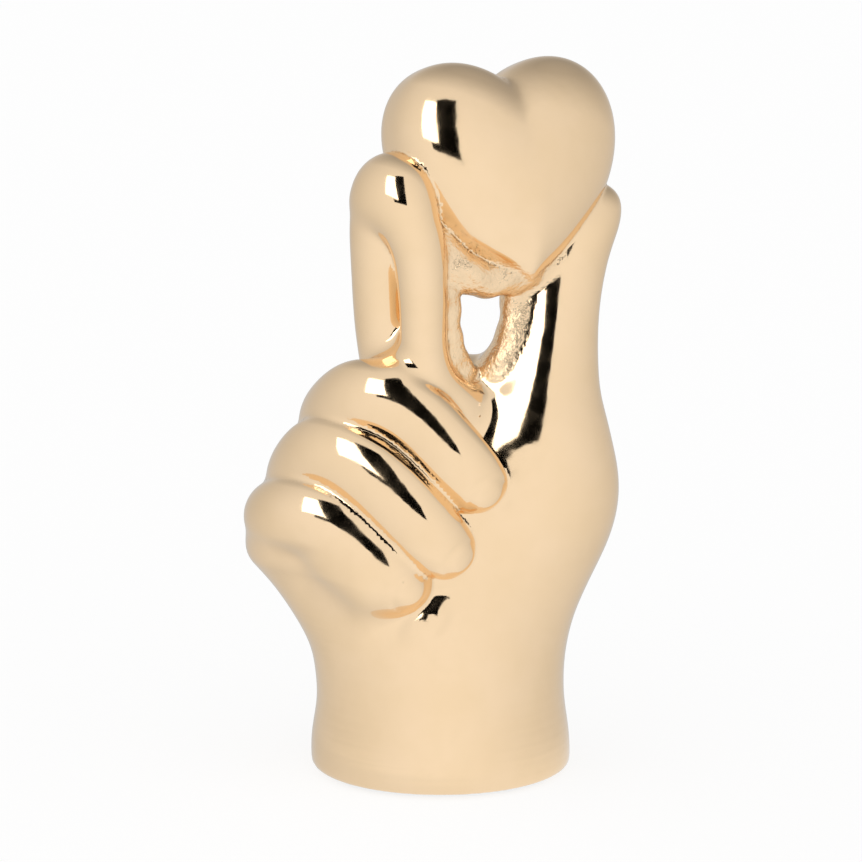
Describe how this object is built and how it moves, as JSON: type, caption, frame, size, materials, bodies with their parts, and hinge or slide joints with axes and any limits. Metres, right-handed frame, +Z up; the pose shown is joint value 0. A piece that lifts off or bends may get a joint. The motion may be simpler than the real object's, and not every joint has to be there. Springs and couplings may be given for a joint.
{
  "type": "hand sculpture",
  "caption": "Hollow cast ceramic hand on a wrist foot, curled fingers, the bent index finger and the thumb holding a puffed heart, bright gold finish.",
  "frame": {"origin": "centre of the wrist's foot, on the plane that the felt pads rest on", "axes": "+Z up; the palm and the curled fingers face -Y; the thumb is towards +X and the little finger towards -X; the heart's face is turned 30 degrees towards +X"},
  "size_m": [0.1008, 0.0694, 0.1933],
  "materials": {
    "gold_glaze": "mirror-bright pale gold metallic coat over glazed ceramic",
    "gold_slip": "the same gold coat over rough, unfettled slip",
    "bare_ceramic": "unglazed, fired, off-white",
    "felt": "dark pressed felt"
  },
  "bodies": {
    "root": {"palm_body": "gold_glaze", "index_finger": "gold_glaze", "middle_finger": "gold_glaze", "ring_finger": "gold_glaze", "little_finger": "gold_glaze", "heart": "gold_glaze", "bridge_slip": "gold_slip", "index_web_slip": "gold_slip", "thumb_web_slip": "gold_slip", "foot_disc": "bare_ceramic", "felt_pad_middle": "felt", "felt_pad_back_right": "felt", "felt_pad_back_left": "felt", "felt_pad_front_left": "felt", "felt_pad_front_right": "felt"}
  },
  "joints": []
}
